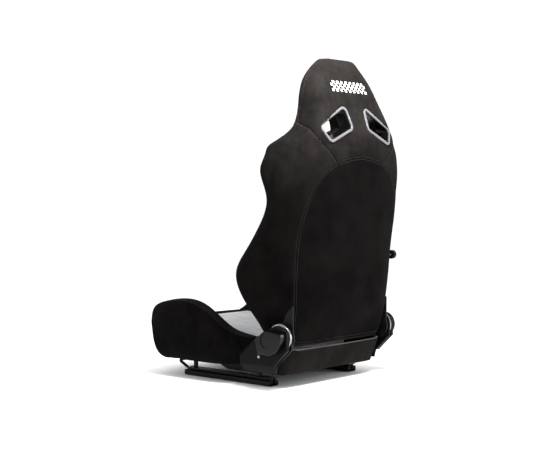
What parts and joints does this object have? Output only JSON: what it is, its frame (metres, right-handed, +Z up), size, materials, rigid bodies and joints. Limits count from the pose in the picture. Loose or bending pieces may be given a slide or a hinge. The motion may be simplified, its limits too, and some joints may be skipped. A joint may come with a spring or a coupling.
{
  "type": "racing seat",
  "caption": "Reclining bucket seat on two sliding floor rails, with suede-like bolsters, a knit insert and two shoulder-belt openings in the backrest.",
  "frame": {"origin": "centre of the four floor bolt holes, at floor level", "axes": "+Z up; the occupant faces -Y; the occupant's left is +X"},
  "size_m": [0.5624, 0.6715, 0.9764],
  "materials": {
    "suede": "short-nap black synthetic suede",
    "insert_knit": "grey spacer knit",
    "moulded_plastic": "fine-grained black moulding",
    "bezel_plastic": "semi-gloss black moulding",
    "rail_steel": "black electrocoat",
    "frame_steel": "satin black powder coat",
    "bright_steel": "zinc-plated and brushed"
  },
  "bodies": {
    "floor_rails": {"rail_lower_left": "rail_steel", "rail_lower_right": "rail_steel"},
    "rollers_left": {"roller_strips_left": "bright_steel", "rail_rollers_left": "bright_steel"},
    "rollers_right": {"roller_strips_right": "bright_steel", "rail_rollers_right": "bright_steel"},
    "seat_base": {"rail_upper_left": "rail_steel", "rail_upper_right": "rail_steel", "base_side_left": "frame_steel", "base_side_right": "frame_steel", "recliner_bracket_left": "frame_steel", "recliner_bracket_right": "frame_steel", "recliner_ring_left": "bright_steel", "recliner_ring_right": "bright_steel", "recliner_spring_left": "bright_steel", "recliner_spring_right": "bright_steel", "side_shield_left": "moulded_plastic", "side_shield_right": "moulded_plastic", "cushion_bolster_left": "suede", "cushion_bolster_right": "suede", "adjuster_pivot_pins": "bright_steel", "spacer_tubes": "frame_steel", "spacer_bolts": "bright_steel", "cross_tube_middle": "frame_steel", "cross_tube_rear": "frame_steel", "front_cross_strap": "frame_steel", "seat_pan": "frame_steel", "pivot_cap": "moulded_plastic", "shield_screws": "bright_steel", "cushion_insert": "insert_knit", "cushion_front_roll": "suede", "rear_skirt": "suede"},
    "adjuster": {"adjuster_bar": "frame_steel", "latch_plates": "frame_steel"},
    "backrest": {"recliner_arm_left": "frame_steel", "recliner_arm_right": "frame_steel", "back_bolster_left": "suede", "back_bolster_right": "suede", "harness_bezel_rear_left": "bezel_plastic", "harness_bezel_rear_right": "bezel_plastic", "harness_bezel_front_left": "bezel_plastic", "harness_bezel_front_right": "bezel_plastic", "back_centre_pad": "insert_knit", "back_panel_pad": "suede", "back_frame": "frame_steel", "headrest_frame": "frame_steel", "headrest_pad": "suede", "lumbar_wires": "bright_steel", "lumbar_plates": "frame_steel"},
    "recline_release": {"recline_lever": "moulded_plastic", "recliner_rod": "bright_steel", "recliner_cam_left": "bright_steel", "recliner_cam_right": "bright_steel"},
    "lumbar_turn": {"lumbar_knob": "moulded_plastic", "lumbar_shaft": "bright_steel", "lumbar_cam": "moulded_plastic"},
    "lumbar_swing": {"lumbar_paddle": "frame_steel"}
  },
  "joints": [
    {"name": "seat_slide", "type": "slide", "parent": "floor_rails", "child": "seat_base", "axis": [0, -1, 0], "range_m": [-0.08, 0.065]},
    {"name": "roller_travel_left", "type": "slide", "parent": "floor_rails", "child": "rollers_left", "axis": [0, -1, 0], "range_m": [-0.04, 0.0325]},
    {"name": "roller_travel_right", "type": "slide", "parent": "floor_rails", "child": "rollers_right", "axis": [0, -1, 0], "range_m": [-0.04, 0.0325]},
    {"name": "adjuster_lift", "type": "hinge", "parent": "seat_base", "child": "adjuster", "pos_m": [0, -0.15, 0.0165], "axis": [-1, 0, 0], "range_deg": [0, 6], "stiffness_Nm_per_rad": 6, "springref_deg": -8.59},
    {"name": "backrest_recline", "type": "hinge", "parent": "seat_base", "child": "backrest", "pos_m": [0, 0.27, 0.154], "axis": [1, 0, 0], "range_deg": [-50, 10]},
    {"name": "recline_lever_lift", "type": "hinge", "parent": "seat_base", "child": "recline_release", "pos_m": [0, 0.27, 0.154], "axis": [-1, 0, 0], "range_deg": [0, 20], "stiffness_Nm_per_rad": 2.5, "springref_deg": -11.46},
    {"name": "lumbar_knob_turn", "type": "hinge", "parent": "backrest", "child": "lumbar_turn", "pos_m": [0, 0.315, 0.379], "axis": [1, 0, 0], "range_deg": [-115, 115]},
    {"name": "lumbar_paddle_swing", "type": "hinge", "parent": "backrest", "child": "lumbar_swing", "pos_m": [0, 0.304, 0.43], "axis": [-1, 0, 0], "range_deg": [-3.4, 3.4]}
  ],
  "couplings": [
    {"joint": "roller_travel_left", "follows": "seat_slide", "ratio": 0.5},
    {"joint": "roller_travel_right", "follows": "seat_slide", "ratio": 0.5},
    {"joint": "lumbar_paddle_swing", "follows": "lumbar_knob_turn", "ratio": 0.0293}
  ]
}
